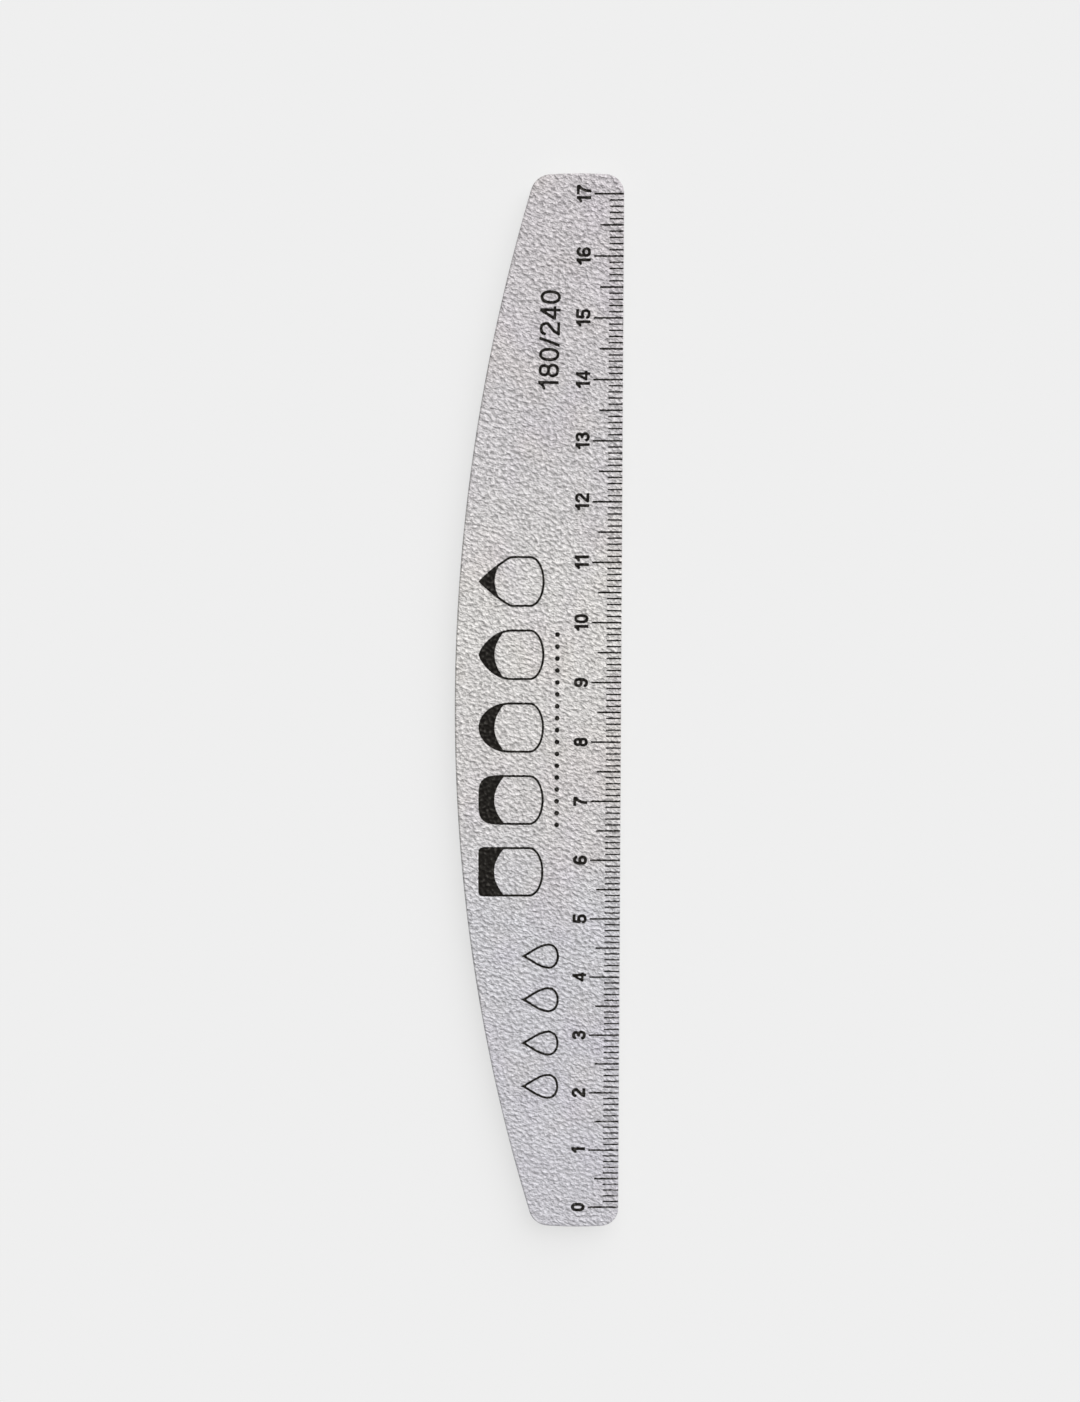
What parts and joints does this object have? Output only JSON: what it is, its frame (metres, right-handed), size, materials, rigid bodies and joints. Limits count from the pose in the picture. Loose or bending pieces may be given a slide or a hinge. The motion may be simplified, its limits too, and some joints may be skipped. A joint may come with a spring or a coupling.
{
  "type": "emery board",
  "caption": "Half-moon nail file: a foam-cushioned laminated board with abrasive on both faces and a printed centimetre scale along its straight edge.",
  "frame": {"origin": "under the middle of the board's box, on the surface that the back face lies on", "axes": "+X across the board to the straight edge with the scale, +Y along the scale, +Z out of the printed face"},
  "size_m": [0.0278, 0.1766, 0.004],
  "materials": {
    "front_grit": "matte",
    "back_grit": "matte",
    "backing_paper": "matte",
    "glue_film": "satin",
    "foam": "matte",
    "core_plastic": "satin",
    "ink": "matte"
  },
  "bodies": {
    "root": {"back_grit_coat": "back_grit", "back_backing_paper": "backing_paper", "back_paper_tape": "glue_film", "back_foam_pad": "foam", "back_core_tape": "glue_film", "core_board": "core_plastic", "front_core_tape": "glue_film", "front_foam_pad": "foam", "front_paper_tape": "glue_film", "front_backing_paper": "backing_paper", "front_grit_coat": "front_grit", "centimetre_ticks": "ink", "half_centimetre_ticks": "ink", "millimetre_ticks": "ink"}
  },
  "joints": []
}
